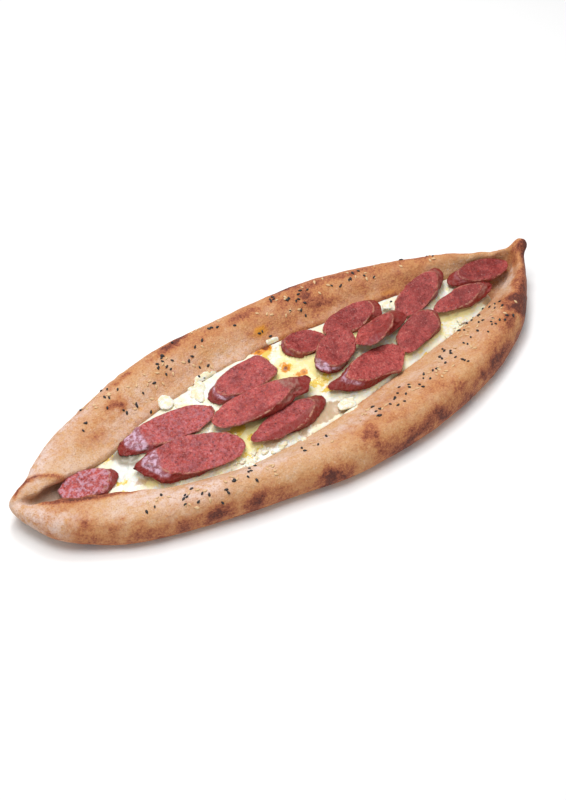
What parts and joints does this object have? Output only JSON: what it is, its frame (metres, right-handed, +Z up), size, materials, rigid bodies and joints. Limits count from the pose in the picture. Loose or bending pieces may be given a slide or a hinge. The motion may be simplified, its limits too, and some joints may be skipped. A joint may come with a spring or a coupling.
{
  "type": "turkish pide",
  "caption": "Boat-shaped baked flatbread with folded rims and pinched ends, filled with melted cheese and topped with overlapping slices of sausage.",
  "frame": {"origin": "on the table, on the bread's flat underside, below the middle of the bread's length", "axes": "+X along the bread from its rounded prow to its pinched, upturned tail; +Y across it towards the far rim; +Z up"},
  "size_m": [0.4064, 0.158, 0.0364],
  "materials": {
    "baked_dough": "baked crust, matt to satin, golden to brown",
    "melted_cheese": "melted cheese, oily gloss",
    "sucuk": "cut cured sausage, satin, with fat specks",
    "white_cheese": "soft white curd, satin"
  },
  "bodies": {
    "root": {"dough": "baked_dough", "cheese": "melted_cheese", "sucuk_prow": "sucuk", "sucuk_left_back": "sucuk", "sucuk_left_front": "sucuk", "sucuk_mid_back": "sucuk", "sucuk_mid_front": "sucuk", "sucuk_mid_top": "sucuk", "sucuk_tail_back": "sucuk", "sucuk_tail_front": "sucuk", "sucuk_rim_back": "sucuk", "sucuk_far_edge": "sucuk", "sucuk_small": "sucuk", "sucuk_centre": "sucuk", "sucuk_crossed": "sucuk", "sucuk_near_edge": "sucuk", "sucuk_chunk": "sucuk", "curd_far_rim": "white_cheese", "curd_far_patch": "white_cheese", "curd_far_gap": "white_cheese", "curd_ball": "white_cheese", "curd_near_tail": "white_cheese", "curd_near_mid": "white_cheese"}
  },
  "joints": []
}
